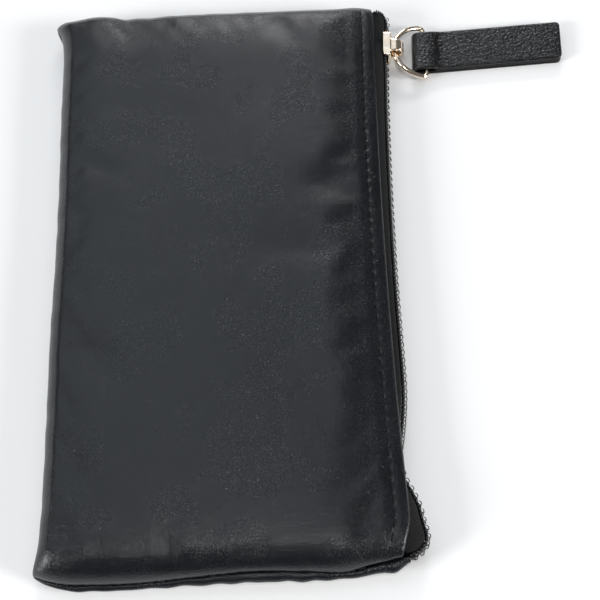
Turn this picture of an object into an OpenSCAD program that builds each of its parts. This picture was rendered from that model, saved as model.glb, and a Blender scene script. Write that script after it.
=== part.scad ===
// Flat zip pouch in grained leather, with a pull strap on the zip slider.
// It lies on its back panel: X runs from the bottom seam to the zip, Y along the zip, Z up.
// The origin is the middle of the face that the pouch rests on.

/* [Pouch] */
// Length along the zip, seam to seam
bag_length = 195; // [120:1:260]
// Width from the bottom seam to the mouth edge
bag_width = 105; // [60:1:160]
// Height of the front panel above the seam line
front_rise = 8.5; // [7:0.5:16]
// Depth of the back panel below the seam line
back_drop = 5.5; // [5.3:0.1:12]
// Height of each mouth edge, measured from the seam line
mouth_half = 5.2; // [5.2:0.1:5.3]
// Width of the slope that runs down to each mouth edge
mouth_slope = 18; // [12:1:30]

/* [Layers] */
// Thickness of the outer leather
leather_t = 1.0; // [0.8:0.1:1.1]
// Thickness of the foam interlining
foam_t = 1.0; // [0.5:0.1:1.2]
// Thickness of the lining cloth
lining_t = 0.4; // [0.2:0.1:0.6]

/* [Zip] */
// Distance from the mouth edge out to the middle of the chain
chain_out = 4.0; // [4:0.1:8]
// Pitch of the coil teeth
tooth_pitch = 1.25; // [1.25:0.05:1.5]
// Height of one coil without its teeth's reach, so half the chain's width
coil_half = 2.1; // [1.9:0.05:2.2]
// Thickness of the coil, square to the tape
coil_t = 1.6; // [1.2:0.1:1.8]
// Length of a tooth that reaches past the chain's middle line
tooth_reach = 0.5; // [0.3:0.05:0.5]
// Thickness of the zip tape
tape_t = 0.5; // [0.3:0.05:0.5]
// Width of tape that is sewn under each panel
tape_under = 9; // [7:0.5:11]

/* [Slider] */
// Place of the closed slider's middle along the pouch, from the far seam
slider_from_end = 15.5; // [14:0.5:30]
// Length of the slider
slider_length = 9; // [8.6:0.1:10]
// Thickness of each of the slider's two plates
plate_t = 0.9; // [0.7:0.05:1.1]
// Width of the bridge band, along the zip
bridge_band = 4.2; // [3:0.1:5]
// Thickness of the bridge band
bridge_t = 1.1; // [0.8:0.1:1.5]

/* [Ring] */
// Diameter of the D-ring's wire
ring_wire = 1.9; // [1.5:0.1:2.2]
// Length of the D-ring's straight limbs, between its round end and its bar
ring_limb = 0.75; // [0.3:0.05:4]
// Clearance between the strap's edges and the D-ring's limbs, each side
ring_side_gap = 1.4; // [0.4:0.1:1.5]

/* [Strap] */
// Width of the pull strap
strap_width = 15; // [12:0.5:18]
// Length of the pull strap from its fold to its free end
strap_length = 51; // [35:1:80]
// Thickness of the strap's leather
strap_leather_t = 1.1; // [0.9:0.1:1.3]
// Thickness of the stiffener between the strap's two leaves
stiffener_t = 1.2; // [0.9:0.1:1.3]

/* [Stitching] */
// Pitch of the topstitching along the mouth
topstitch_pitch = 3.7; // [3:0.1:5]
// Distance of the topstitching from the mouth edge
topstitch_in = 3.5; // [2.5:0.5:6]
// Pitch of the hidden seam stitching
seam_pitch = 3.0; // [2:0.1:4]
// Thickness of the sewing thread
thread_t = 0.35; // [0.2:0.05:0.4]

/* [Hidden] */
$fn = 48;

// Gaps
seam_gap = 0.1;        // each panel's rim, from the seam line
layer_gap = 0.05;      // between the sewn layers
chain_gap = 0.15;      // slider plates, from coil and tape
bar_gap = 0.1;         // strap leather, from the D-ring's bar
past = 1;              // how far a cutting shape runs past what it cuts

// Pouch
seam_z = back_drop;
half_length = bag_length / 2;
bottom_x = -bag_width / 2;
mouth_x = bag_width / 2;
slope_x = mouth_x - mouth_slope;
foam_in = leather_t + layer_gap;
lining_in = foam_in + foam_t + layer_gap;
tape_in = leather_t + layer_gap;
foam_edge_x = mouth_x - tape_under - 1;

// Zip chain. It stands upright: the front coil's teeth point down, the back coil's up.
chain_x = mouth_x + chain_out;
spine_low = tooth_reach + 0.1;
cord_t = 0.6;
cord_gap = 0.05;
cord_z = (spine_low + coil_half) / 2;
tooth_w = tooth_pitch * 0.4;
tape_end = half_length - 4.5;
coil_end = tape_end - 1.5;
slider_y = half_length - slider_from_end;

// Slider. Its nose faces the far end, where the diamond keeps the two coils apart.
nose_y = slider_length * 0.48;
tail_y = nose_y - slider_length;
spread = 0.9;
spread_from = 0.4;
spread_to = 2.6;
diamond_from = 2.8;
diamond_half = 0.3;
plate_half = 3.45;
plate_tail_half = 2.6;
flange_in = coil_half + chain_gap;
flange_tail_y = -2.1;
outer_plate_x = chain_x + coil_t / 2 + chain_gap;
outer_face_x = outer_plate_x + plate_t;
tape_back_x = chain_x - coil_t / 2 - tape_t;
inner_plate_x = tape_back_x - chain_gap;
bridge_hole = ring_wire / 2 + 0.65;
bridge_x = outer_face_x + ring_wire / 2 + 0.75;

// Ring: tilted down from the bridge, so that the strap's fold lies on the floor
wire_r = ring_wire / 2;
fold_r = wire_r + bar_gap + strap_leather_t;
ring_half = strap_width / 2 + ring_side_gap + wire_r;
ring_depth = ring_half + ring_limb;
ring_tilt = asin((seam_z - fold_r) / ring_depth);
bar_x = bridge_x + ring_depth * cos(ring_tilt);

// Strap: one strip folded round the bar, with room for the bar to shift in the fold
fold_play = 2.5;
strap_t = 2 * strap_leather_t + stiffener_t;
fold_x = bar_x - fold_play - fold_r;
strap_end_x = fold_x + strap_length;
pocket_end_x = bar_x + wire_r + bar_gap + 1.5;
strap_taper = 2;
strap_stitch_in = 1.8;

// Height of a panel's outer face above the seam line, in the slope next to the mouth
function slope_z(x, rise) = rise + (mouth_half - rise) * (x - slope_x) / mouth_slope;

// How far a coil is pushed outwards at y, past the slider's middle
function spread_at(y) =
    let (u = (y - slider_y - spread_from) / (spread_to - spread_from))
    spread * min(1, max(0, u));

// What a rounded corner takes away: the square beyond x, above the seam line, less the round
module corner_waste(x, side, r) {
    difference() {
        translate([side < 0 ? x - r - past : x, 0]) square(r + past);
        translate([x, 0]) circle(r = r);
    }
}

// Half section across the pouch: round at the bottom seam, sloping to the mouth
module cross_profile(rise, inset) {
    r = rise - inset;
    difference() {
        polygon([
            [bottom_x + inset, -past], [bottom_x + inset, r], [slope_x, r],
            [mouth_x, mouth_half - inset],
            [mouth_x + past, mouth_half - inset + (mouth_half - rise) / mouth_slope * past],
            [mouth_x + past, -past]
        ]);
        corner_waste(bottom_x + rise, -1, r);
    }
}

// Half section along the pouch: round at both end seams
module end_profile(rise, inset) {
    r = rise - inset;
    difference() {
        translate([inset - half_length, -past]) square([bag_length - 2 * inset, r + past]);
        for (side = [-1, 1]) corner_waste(side * (half_length - rise), side, r);
    }
}

// Solid of one panel, reduced by inset on every side but the mouth
module pillow(rise, inset) {
    intersection() {
        translate([0, half_length, 0]) rotate([90, 0, 0])
            linear_extrude(bag_length) cross_profile(rise, inset);
        translate([bottom_x - past, 0, 0]) rotate([90, 0, 90])
            linear_extrude(bag_width + 3 * past) end_profile(rise, inset);
    }
}

// One layer of a panel, from inset and t thick, up to edge_x
module layer(rise, inset, t, edge_x) {
    intersection() {
        difference() {
            pillow(rise, inset);
            pillow(rise, inset + t);
        }
        translate([bottom_x - past, -half_length - past, seam_gap])
            cube([edge_x - bottom_x + past, bag_length + 2 * past, rise]);
    }
}

// The front's shapes are drawn above the seam line, and the back's are their mirror image below it
module front_side() { translate([0, 0, seam_z]) children(); }
module back_side() { translate([0, 0, seam_z]) mirror([0, 0, 1]) children(); }

// Zip tape: under the panel, out past the mouth edge, and down behind the coil
module zip_tape(rise) {
    start_x = mouth_x - tape_under;
    top = mouth_half - tape_in;
    translate([0, tape_end, 0]) rotate([90, 0, 0]) linear_extrude(2 * tape_end) polygon([
        [start_x, slope_z(start_x, rise) - tape_in], [mouth_x, top],
        [tape_back_x + tape_t, top], [tape_back_x + tape_t, spine_low],
        [tape_back_x, spine_low], [tape_back_x, top - tape_t],
        [mouth_x, top - tape_t], [start_x, slope_z(start_x, rise) - tape_in - tape_t]
    ]);
}

// Ribbon between two heights above the chain's middle line, spread where the slider parts the coils
module chain_ribbon(low, high, thick) {
    ys = [-coil_end, slider_y + spread_from, slider_y + spread_to, coil_end];
    translate([chain_x - thick / 2, 0, 0]) rotate([90, 0, 90]) linear_extrude(thick) polygon(concat(
        [for (y = ys) [y, high + spread_at(y)]],
        [for (i = [len(ys) - 1 : -1 : 0]) [ys[i], low + spread_at(ys[i])]]
    ));
}

// Coil: a spine round its cord, with teeth that reach past the middle line; shift sets the teeth's phase
module zip_coil(shift) {
    ys = [-coil_end, slider_y + spread_from, slider_y + spread_to, coil_end];
    teeth = floor((2 * coil_end - tooth_w - shift) / tooth_pitch);
    outer = [for (i = [len(ys) - 1 : -1 : 0]) [ys[i], coil_half + spread_at(ys[i])]];
    comb = [
        for (i = [0 : teeth - 1])
            let (y = shift + (i + 0.3) * tooth_pitch - coil_end, lift = spread_at(y + tooth_w / 2))
            each [
                [y, spine_low + lift], [y, lift - tooth_reach],
                [y + tooth_w, lift - tooth_reach], [y + tooth_w, spine_low + lift]
            ]
    ];
    ends = [[-coil_end, spine_low], [coil_end, spine_low + spread]];
    difference() {
        translate([chain_x - coil_t / 2, 0, 0]) rotate([90, 0, 90]) linear_extrude(coil_t)
            polygon(concat([ends[0]], comb, [ends[1]], outer));
        chain_ribbon(cord_z - cord_t / 2 - cord_gap, cord_z + cord_t / 2 + cord_gap, cord_t + 2 * cord_gap);
    }
}

module coil_cord() { chain_ribbon(cord_z - cord_t / 2, cord_z + cord_t / 2, cord_t); }

// Topstitching along the mouth edge, lying on the panel's outer face
module topstitch(rise) {
    stitch_l = topstitch_pitch * 0.7;
    x = mouth_x - topstitch_in;
    count = floor((bag_length - 2 * rise - stitch_l) / topstitch_pitch);
    start = -(count * topstitch_pitch + stitch_l) / 2;
    tilt = atan((rise - mouth_half) / mouth_slope);
    for (i = [0 : count])
        translate([x, start + i * topstitch_pitch, slope_z(x, rise) + 0.01]) rotate([0, tilt, 0])
            translate([-thread_t, 0, 0]) cube([2 * thread_t, stitch_l, thread_t / 2]);
}

// Row of hidden seam stitches from one point to another, inside the back panel's rim
module seam_stitches(from, length, angle) {
    stitch_l = seam_pitch * 0.75;
    count = floor((length - stitch_l) / seam_pitch);
    translate([from[0], from[1], -seam_gap - 2 * thread_t]) rotate([0, 0, angle])
        for (i = [0 : count])
            translate([i * seam_pitch, 0, 0]) cube([stitch_l, thread_t, thread_t]);
}

// Bar tack over both tapes, at one end of the coils
module bar_tack() {
    tack_l = tape_end - coil_end - 0.3;
    translate([tape_back_x + tape_t + 0.02, coil_end + 0.2, seam_z - coil_half])
        cube([2 * thread_t, tack_l, 2 * coil_half]);
}

// Plate of the slider, seen square to the chain, with its nose at +Y
module plate_outline() {
    polygon([
        [tail_y, plate_tail_half - 0.6], [tail_y + 0.5, plate_tail_half],
        [flange_tail_y, plate_tail_half + 0.3], [flange_tail_y, plate_half],
        [nose_y - 1, plate_half], [nose_y, plate_half - 1.2],
        [nose_y, 1.2 - plate_half], [nose_y - 1, -plate_half],
        [flange_tail_y, -plate_half], [flange_tail_y, -plate_tail_half - 0.3],
        [tail_y + 0.5, -plate_tail_half], [tail_y, 0.6 - plate_tail_half]
    ]);
}

module slider_plate(x) {
    translate([x, slider_y, seam_z]) rotate([90, 0, 90]) linear_extrude(plate_t) plate_outline();
}

// Flange that turns in from the outer plate over one coil, and leaves a slot for the tape
module slider_flange() {
    reach = outer_plate_x - (tape_back_x + tape_t) - chain_gap;
    translate([outer_plate_x - reach, slider_y, seam_z]) rotate([90, 0, 90]) linear_extrude(reach + plate_t / 2)
        polygon([
            [flange_tail_y, flange_in], [spread_from - 0.4, flange_in],
            [spread_to - 0.2, flange_in + spread - 0.05], [nose_y - 1.1, flange_in + spread - 0.05],
            [nose_y - 1.1, plate_half], [flange_tail_y, plate_half]
        ]);
}

module back_panel() { color("#26282b") back_side() layer(back_drop, 0, leather_t, mouth_x); }

module back_interlining() {
    color("#8c8c88") back_side() layer(back_drop, foam_in, foam_t, foam_edge_x);
}

module back_lining() { color("#3a3a3d") back_side() layer(back_drop, lining_in, lining_t, mouth_x); }

module back_zip_tape() { color("#17181a") back_side() zip_tape(back_drop); }

module back_zip_coil() { color("#111214") back_side() zip_coil(tooth_pitch / 2); }

module back_coil_cord() { color("#202124") back_side() coil_cord(); }

module back_topstitch() { color("#1b1c1f") back_side() topstitch(back_drop); }

module far_seam_stitching() {
    color("#1b1c1f") front_side()
        seam_stitches([bottom_x + back_drop, half_length - lining_in - lining_t - 0.5], slope_x - bottom_x, 0);
}

module near_seam_stitching() {
    color("#1b1c1f") front_side()
        seam_stitches([bottom_x + back_drop, lining_in + lining_t + 0.2 - half_length], slope_x - bottom_x, 0);
}

module bottom_seam_stitching() {
    color("#1b1c1f") front_side()
        seam_stitches([bottom_x + lining_in + lining_t + 0.6, back_drop - half_length], bag_length - 2 * back_drop, 90);
}

module far_bar_tack() { color("#1b1c1f") bar_tack(); }

module near_bar_tack() { color("#1b1c1f") mirror([0, 1, 0]) bar_tack(); }

module front_panel() { color("#2b2d30") front_side() layer(front_rise, 0, leather_t, mouth_x); }

module front_interlining() {
    color("#8c8c88") front_side() layer(front_rise, foam_in, foam_t, foam_edge_x);
}

module front_lining() { color("#3a3a3d") front_side() layer(front_rise, lining_in, lining_t, mouth_x); }

module front_zip_tape() { color("#17181a") front_side() zip_tape(front_rise); }

module front_zip_coil() { color("#111214") front_side() zip_coil(0); }

module front_coil_cord() { color("#202124") front_side() coil_cord(); }

module front_topstitch() { color("#1b1c1f") front_side() topstitch(front_rise); }

module slider_body() {
    color("#d9bf94") {
        slider_plate(outer_plate_x);
        slider_plate(inner_plate_x - plate_t);
        translate([inner_plate_x - plate_t / 2, slider_y + diamond_from, seam_z - diamond_half])
            cube([outer_plate_x - inner_plate_x + plate_t, nose_y - diamond_from - 0.2, 2 * diamond_half]);
        slider_flange();
        translate([0, 0, 2 * seam_z]) mirror([0, 0, 1]) slider_flange();
    }
}

// Loop on the slider's outer plate that the D-ring's wire passes through along Y
module slider_bridge() {
    outer_r = bridge_hole + bridge_t;
    root = bridge_x - outer_face_x;
    color("#d9bf94")
        translate([bridge_x, slider_y + bridge_band / 2, seam_z]) rotate([90, 0, 0])
            linear_extrude(bridge_band) difference() {
                union() {
                    circle(r = outer_r);
                    translate([-root, -outer_r]) square([root, 2 * outer_r]);
                }
                circle(r = bridge_hole);
                translate([-root - past, -bridge_hole]) square([root + past, 2 * bridge_hole]);
                translate([-root - outer_r, -outer_r]) square([outer_r, 2 * outer_r]);
            }
}

// D-ring: half a torus through the bridge, two limbs and a straight bar in the strap's fold
module d_ring() {
    color("#dcc39a") translate([bridge_x, slider_y, seam_z]) rotate([0, ring_tilt, 0])
        translate([ring_half, 0, 0]) {
            rotate([0, 0, 90]) rotate_extrude(angle = 180) translate([ring_half, 0]) circle(r = wire_r);
            for (side = [-1, 1]) translate([0, side * ring_half, 0]) {
                rotate([0, 90, 0]) cylinder(h = ring_limb, r = wire_r);
                translate([ring_limb, 0, 0]) sphere(r = wire_r);
            }
            translate([ring_limb, ring_half, 0]) rotate([90, 0, 0]) cylinder(h = 2 * ring_half, r = wire_r);
        }
}

// Strap leather: two leaves joined by the fold, with a pocket for the bar
module pull_strap() {
    pocket_r = fold_r - strap_leather_t;
    color("#1c1d1f") translate([0, slider_y + strap_width / 2, 0]) rotate([90, 0, 0])
        linear_extrude(strap_width) difference() {
            union() {
                translate([fold_x + fold_r, fold_r]) circle(r = fold_r);
                translate([fold_x + fold_r, 0]) square([pocket_end_x - fold_x - fold_r, 2 * fold_r]);
                polygon([
                    [pocket_end_x, 0], [strap_end_x, 0], [strap_end_x, strap_t],
                    [pocket_end_x + strap_taper, strap_t], [pocket_end_x, 2 * fold_r]
                ]);
            }
            translate([fold_x + fold_r, fold_r]) circle(r = pocket_r);
            translate([fold_x + fold_r, fold_r - pocket_r])
                square([bar_x - fold_x - fold_r, 2 * pocket_r]);
            translate([bar_x, fold_r]) circle(r = pocket_r);
            translate([pocket_end_x, strap_leather_t])
                square([strap_end_x - pocket_end_x + past, stiffener_t]);
        }
}

module strap_stiffener() {
    side = 0.6;
    color("#77736b")
        translate([pocket_end_x + 0.1, slider_y - strap_width / 2 + side, strap_leather_t + 0.02])
            cube([strap_end_x - pocket_end_x - side, strap_width - 2 * side, stiffener_t - 0.04]);
}

// Stitching round the strap's edge, lying on its upper leaf
module pull_strap_stitching() {
    stitch_l = topstitch_pitch * 0.7;
    run = strap_end_x - pocket_end_x - strap_taper - 2 * strap_stitch_in;
    count = floor(run / topstitch_pitch);
    cross = floor((strap_width - 2 * strap_stitch_in) / topstitch_pitch);
    color("#1b1c1f") translate([0, slider_y, strap_t + 0.01]) {
        for (side = [-1, 1], i = [0 : count - 1])
            translate([
                pocket_end_x + strap_taper + strap_stitch_in + i * topstitch_pitch,
                side * (strap_width / 2 - strap_stitch_in) - thread_t, 0
            ]) cube([stitch_l, 2 * thread_t, thread_t / 2]);
        for (i = [0 : cross - 1])
            translate([
                strap_end_x - strap_stitch_in,
                (i - cross / 2) * topstitch_pitch + (topstitch_pitch - stitch_l) / 2, 0
            ]) cube([2 * thread_t, stitch_l, thread_t / 2]);
    }
}

back_panel();
back_interlining();
back_lining();
back_zip_tape();
back_zip_coil();
back_coil_cord();
back_topstitch();
far_seam_stitching();
near_seam_stitching();
bottom_seam_stitching();
far_bar_tack();
near_bar_tack();
front_panel();
front_interlining();
front_lining();
front_zip_tape();
front_zip_coil();
front_coil_cord();
front_topstitch();
slider_body();
slider_bridge();
d_ring();
pull_strap();
strap_stiffener();
pull_strap_stitching();
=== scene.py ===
import math

import bpy
import numpy as np
from mathutils import Matrix, Vector


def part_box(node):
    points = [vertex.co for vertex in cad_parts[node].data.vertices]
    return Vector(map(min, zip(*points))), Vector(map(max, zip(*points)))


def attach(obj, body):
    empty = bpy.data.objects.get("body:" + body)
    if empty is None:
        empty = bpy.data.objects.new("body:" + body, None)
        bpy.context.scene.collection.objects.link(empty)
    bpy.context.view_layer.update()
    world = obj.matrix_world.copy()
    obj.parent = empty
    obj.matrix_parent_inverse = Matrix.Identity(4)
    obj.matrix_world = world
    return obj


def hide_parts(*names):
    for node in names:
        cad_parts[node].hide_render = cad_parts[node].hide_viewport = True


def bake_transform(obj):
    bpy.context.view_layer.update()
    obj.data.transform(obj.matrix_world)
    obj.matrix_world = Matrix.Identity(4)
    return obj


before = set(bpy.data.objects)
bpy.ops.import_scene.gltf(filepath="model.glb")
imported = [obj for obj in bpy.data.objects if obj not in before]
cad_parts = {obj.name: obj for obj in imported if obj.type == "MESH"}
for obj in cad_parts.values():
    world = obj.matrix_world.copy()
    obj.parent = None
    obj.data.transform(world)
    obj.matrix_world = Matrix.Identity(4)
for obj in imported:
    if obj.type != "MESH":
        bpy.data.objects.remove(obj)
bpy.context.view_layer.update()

# Lengths in this script are in millimetres unless a name ends in _M. Meshes are scaled to metres
# when they are made. X runs from the bottom seam to the zip, Y along the zip, Z up.
MM = 0.001


def box(*nodes):
    """Lowest and highest corner of one or more CAD nodes, in millimetres."""
    corners = [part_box(n) for n in nodes]
    lo = np.min([np.array(c[0]) for c in corners], axis=0)
    hi = np.max([np.array(c[1]) for c in corners], axis=0)
    return lo / MM, hi / MM


# ---------------------------------------------------------------- sizes taken from the frame
front_lo, front_hi = box("front_panel")
back_lo, back_hi = box("back_panel")
slider_lo, slider_hi = box("slider_body")
bridge_lo, bridge_hi = box("slider_bridge")
ring_lo, ring_hi = box("d_ring")
strap_lo, strap_hi = box("pull_strap")

SEAM_Z = (front_lo[2] + back_hi[2]) / 2
LEFT_X = back_lo[0]
MOUTH_X = back_hi[0]
HALF_LENGTH = back_hi[1]
TOP_Z = front_hi[2]
WIDTH = MOUTH_X - LEFT_X

# ---------------------------------------------------------------- leather and layers
LEATHER_T = 1.0
FOAM_T = 1.0
LINING_T = 0.4
LAYER_GAP = 0.05
HEM = 8.0            # how far the mouth edge is turned back
HEM_R = 0.56         # radius of the turned edge, at the middle of the leather
STITCH_IN = 3.5      # topstitching, from the mouth edge
STITCH_PITCH = 3.7
THREAD_R = 0.25

rng = np.random.default_rng(11)


def ramp(x, a, b):
    t = np.clip((np.asarray(x, float) - a) / (b - a), 0, 1)
    return t * t * (3 - 2 * t)


def bell(x, middle, width):
    return np.exp(-(((x - middle) / width) ** 2))


def waves(count, shortest, longest):
    """Random plane waves for slow dents and swells: direction, wavelength, phase and share of each."""
    angle = rng.uniform(0, math.pi, count)
    length = rng.uniform(shortest, longest, count)
    phase = rng.uniform(0, 2 * math.pi, count)
    return np.cos(angle) / length, np.sin(angle) / length, phase, (length / longest) ** 0.7


def spline(control, spacing):
    """Smooth curve through control points (Catmull-Rom), resampled at an even spacing."""
    c = np.asarray(control, float)
    c = np.concatenate([2 * c[:1] - c[1:2], c, 2 * c[-1:] - c[-2:-1]])
    t = np.linspace(0, 1, 24, endpoint=False)[:, None]
    out = []
    for a, b, d, e in zip(c[:-3], c[1:-2], c[2:-1], c[3:]):
        out.append(
            0.5 * (2 * b + (d - a) * t + (2 * a - 5 * b + 4 * d - e) * t**2
                   + (3 * b - 3 * d + e - a) * t**3)
        )
    out = np.concatenate(out + [c[-2:-1]])
    return even(out, spacing)


def even(points, spacing):
    run = np.concatenate([[0], np.cumsum(np.linalg.norm(np.diff(points, axis=0), axis=1))])
    count = max(2, int(round(run[-1] / spacing)) + 1)
    want = np.linspace(0, run[-1], count)
    return np.stack([np.interp(want, run, points[:, k]) for k in range(points.shape[1])], axis=1)


SWELL = waves(9, 28, 95)
DENT = waves(12, 9, 24)
PUCKER = waves(9, 5, 13)


def swell(x, y, table):
    kx, ky, phase, share = table
    value = sum(
        s * np.sin(2 * math.pi * (a * x + b * y) + p) for a, b, p, s in zip(kx, ky, phase, share)
    )
    return value / math.sqrt(len(kx))


# ---------------------------------------------------------------- the two faces of the pouch
SEAM_IN = 1.8        # seams, in from the pouch's outer line, which its rolled edges reach
# Near seam from the bottom seam to the mouth: x, y, height, and the back roll's swelling past it
NEAR_SEAM = [
    (-51, -92.4, 4.8, 1.0), (-46, -94.2, 4.8, 1.7), (-39, -95.3, 4.8, 1.9), (-22, -95.7, 5.4, 1.7),
    (-4, -94.8, 7.0, 2.3), (11, -94.0, 7.8, 3.2), (26, -94.6, 7.4, 2.7), (36, -95.2, 6.4, 1.7),
    (43, -93.7, 6.8, 2.5), (49, -92.4, 7.4, 3.4), (54, -91.9, 7.8, 3.6),
]


def near_end(x, column):
    """One of the near seam's y, height and swelling, as a smooth curve along x."""
    xs, values = NEAR_CURVE[:, 0], NEAR_CURVE[:, column + 1]
    return np.interp(x, xs, values)


class Face:
    """One face of the pouch: how its leather rises from the seam and runs to the mouth edge."""

    def __init__(self, up, roll_x, roll_near, roll_far, bulge, rest_z, edge_share, near_trim, far_trim):
        self.up = up                  # +1 front, -1 back
        self.roll_x = roll_x          # radius of the rolled edge at the bottom seam
        self.roll_near = roll_near    # and at the two end seams
        self.roll_far = roll_far
        self.bulge = bulge            # how far the roll swells past the bottom and far seams
        self.rest_z = rest_z          # height of the leather's middle where it is flat
        self.edge_share = edge_share  # share of the rise that is left at the mouth edge
        self.near_trim = near_trim    # how far the mouth edge turns in at the near corner
        self.far_trim = far_trim
        self.quarter_x = roll_x * math.pi / 2
        self.quarter_near = roll_near * math.pi / 2
        self.quarter_far = roll_far * math.pi / 2
        self.span_x = WIDTH - SEAM_IN
        self.span_y = 2 * (HALF_LENGTH - SEAM_IN)
        self.length_p = self.quarter_x + self.span_x - roll_x
        self.length_q = self.quarter_near + self.quarter_far + self.span_y - roll_near - roll_far
        self.relaxed = None

    @staticmethod
    def roll_out(p, roll):
        """Distance run out from the seam, its swelling, and the share of the rise, at arc p."""
        phi = np.clip(p / roll, 0, math.pi / 2)
        run = roll * (1 - np.cos(phi)) + np.maximum(p - roll * math.pi / 2, 0)
        t = np.clip(phi / 1.1, 0, 1)
        return run, np.sin(math.pi * t**0.62), 0.82 * np.sin(phi) + 0.18 * (1 - np.exp(-run / 8))

    def left_seam(self, y):
        far_ear = 4.4 * np.exp(-np.maximum(HALF_LENGTH - SEAM_IN - y, 0) / 4.2)
        near_ear = 3.3 * np.exp(-np.maximum(HALF_LENGTH - SEAM_IN + y, 0) / 5.5)
        wander = 0.28 * np.sin(y / 27 + 0.6) + 0.12 * np.sin(y / 11.5)
        return LEFT_X + SEAM_IN - far_ear - near_ear + wander * ramp(HALF_LENGTH - abs(y), 0, 25)

    def mouth_edge(self, y):
        bow = 1.9 * (1 - (y / HALF_LENGTH) ** 2)
        near = self.near_trim * ramp(-y, HALF_LENGTH - 15, HALF_LENGTH - 1) ** 1.5
        far = self.far_trim * ramp(y, HALF_LENGTH - 9, HALF_LENGTH - 1) ** 1.5
        return MOUTH_X - bow - near - far

    def far_seam(self, x):
        folds = 1.3 * bell(x, -37.5, 6.5) - 0.7 * bell(x, -28, 3) - 0.5 * bell(x, -20.5, 3.5)
        return HALF_LENGTH - SEAM_IN + folds + 1.4 * ramp(x, 36, 52)

    def seam_height(self, x, y):
        far = SEAM_Z - 1.2 + 1.2 * (1 - np.clip(x / MOUTH_X, -1, 1) ** 2)
        near = near_end(x, 1)
        side = SEAM_Z - 1.2
        low = side + (far - side) * ramp(y, 45, HALF_LENGTH)
        low = low + (near - side) * ramp(-y, 55, HALF_LENGTH - 4)
        return low + self.up * LEATHER_T * 0.45

    def at(self, p, q):
        """Middle of the leather at arc p from the bottom seam and arc q from the near seam."""
        p, q = np.broadcast_arrays(np.asarray(p, float), np.asarray(q, float))
        run_x, swell_x, rise_x = self.roll_out(p, self.roll_x)
        run_n, swell_n, rise_n = self.roll_out(q, self.roll_near)
        run_f, swell_f, rise_f = self.roll_out(self.length_q - q, self.roll_far)
        base_x = LEFT_X + SEAM_IN + run_x
        half = self.length_q / 2
        along = np.where(q < half, run_n, self.span_y - run_f)
        base_y = along - self.span_y / 2
        rise_y = rise_n * rise_f
        pull = 1 + 0.10 * swell(base_x, base_y, PUCKER)
        left, right = self.left_seam(base_y), self.mouth_edge(base_y)
        near, far = near_end(base_x, 0), self.far_seam(base_x)
        near_bulge = near_end(base_x, 2) * (0.22 if self.up > 0 else 1.0)
        x = left + run_x / self.span_x * (right - left) - swell_x * self.bulge * rise_y * pull
        y = near + along / self.span_y * (far - near)
        mouth_side = ramp(self.length_p - p, -1, 5)
        swelling = swell_f * self.bulge - swell_n * near_bulge
        y = y + swelling * rise_x * pull * (0.35 + 0.65 * mouth_side)
        from_mouth = self.length_p - p
        slope = 1 - (1 - self.edge_share) * np.clip(1 - from_mouth / 19, 0, 1) ** 1.7
        rise = rise_x * rise_y * slope
        low = self.seam_height(base_x, base_y)
        if self.up > 0:
            inside = rise_x * rise_y * ramp(from_mouth, 4, 22)
            top = self.rest_z + 0.32 * swell(base_x, base_y, SWELL) * inside
            top = top + 0.04 * swell(base_x, base_y, DENT) * inside
            edge_near = np.minimum(np.minimum(p, q), self.length_q - q)
            fold = 0.10 * np.exp(-((edge_near - 9) / 6) ** 2) * swell(base_x, base_y, PUCKER)
            z = low + (top - low) * rise + fold * inside
        else:
            z = low + (self.rest_z - low) * rise
        groove = 0.06 * bell(from_mouth, STITCH_IN, 0.5) * ramp(np.minimum(q, self.length_q - q), 0, 4)
        beat = np.cos(math.pi * (q - 4) / STITCH_PITCH) ** 16
        puff = 0.14 * bell(from_mouth, STITCH_IN + 3.0, 1.8) + 0.08 * bell(from_mouth, 1.6, 0.9)
        z = z + self.up * (puff - groove * (1 + 5.5 * beat)) * np.clip(rise_y, 0, 1)
        point = np.stack([x, y, z], axis=-1)
        if self.relaxed is not None:
            point = point + self.relaxed(p, q)
        return point

    def normals(self, p, q, step=0.35):
        """Unit normals that point out of the pouch."""
        p, q = np.broadcast_arrays(np.asarray(p, float), np.asarray(q, float))
        q = np.clip(q, step, self.length_q - step)
        p = np.clip(p, step, None)
        dp = self.at(p + step, q) - self.at(p - step, q)
        dq = self.at(p, q + step) - self.at(p, q - step)
        n = np.cross(dp, dq) * self.up
        return n / np.maximum(np.linalg.norm(n, axis=-1, keepdims=True), 1e-9)


NEAR_CURVE = spline(NEAR_SEAM, 0.5)
FRONT = Face(1, 3.4, 7.4, 3.6, 1.0, TOP_Z - LEATHER_T / 2, 0.60, 2.6, 0.6)
BACK = Face(-1, 3.5, 4.4, 3.5, 1.3, LEATHER_T / 2, 0.94, 0.2, 1.2)


# ---------------------------------------------------------------- mesh helpers
class Parts:
    """Collects pieces of one mesh."""

    def __init__(self):
        self.verts, self.faces, self.count = [], [], 0

    def add(self, verts, faces):
        verts = np.asarray(verts, float).reshape(-1, 3)
        self.verts.append(verts)
        self.faces += [tuple(int(i) + self.count for i in f) for f in faces]
        self.count += len(verts)
        return self


def make(name, parts, look, body=None, replaces=(), sharp=40):
    verts = np.concatenate(parts.verts) * MM
    mesh = bpy.data.meshes.new(name)
    mesh.from_pydata(verts.tolist(), [], parts.faces)
    mesh.validate()
    mesh.update()
    obj = bpy.data.objects.new(name, mesh)
    bpy.context.collection.objects.link(obj)
    mesh.materials.append(look)
    mesh.polygons.foreach_set("use_smooth", [True] * len(mesh.polygons))
    if sharp:
        mesh.set_sharp_from_angle(angle=math.radians(sharp))
    if body:
        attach(obj, body)
    if replaces:
        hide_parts(*replaces)
    return obj


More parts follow.
